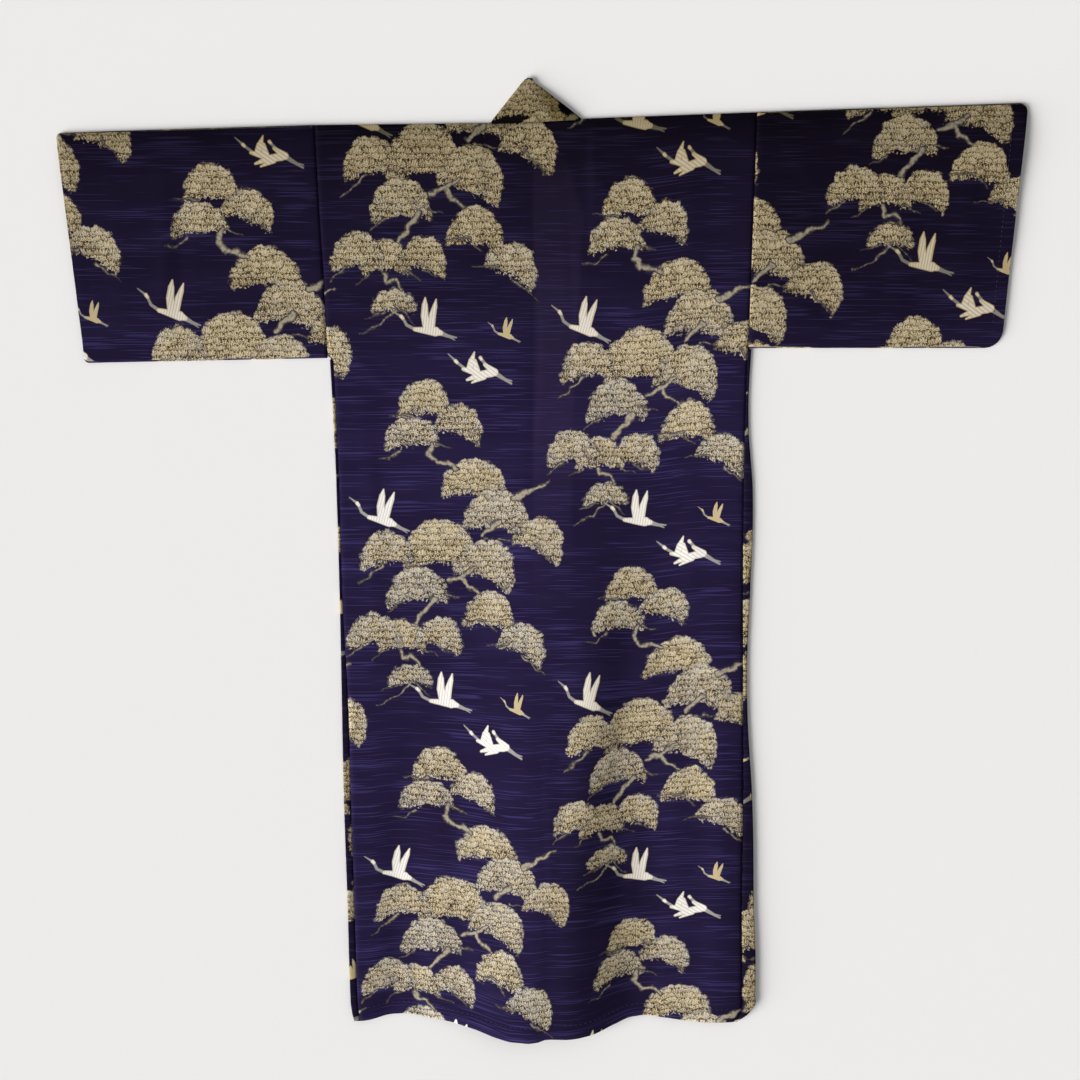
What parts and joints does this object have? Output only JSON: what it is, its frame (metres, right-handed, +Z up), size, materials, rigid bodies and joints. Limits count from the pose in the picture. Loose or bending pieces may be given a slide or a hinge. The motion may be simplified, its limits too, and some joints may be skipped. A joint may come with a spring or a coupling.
{
  "type": "yukata",
  "caption": "Cotton robe with straight sleeves and a folded collar, laid flat with its back up, in a dark cloth with pines and cranes.",
  "frame": {"origin": "on the surface the robe lies on, below the middle of its outline", "axes": "+X to the wearer's right sleeve, +Y from the hem to the collar, +Z up, away from the surface"},
  "size_m": [1.358, 1.3481, 0.0232],
  "materials": {
    "printed_cloth": "woven cotton, dull, dark blue with a printed pattern of pines and cranes in gold, silver and white"
  },
  "bodies": {
    "root": {"back": "printed_cloth", "front_left": "printed_cloth", "front_right": "printed_cloth", "okumi_left": "printed_cloth", "okumi_right": "printed_cloth", "sleeve_left": "printed_cloth", "sleeve_right": "printed_cloth", "collar": "printed_cloth"}
  },
  "joints": []
}
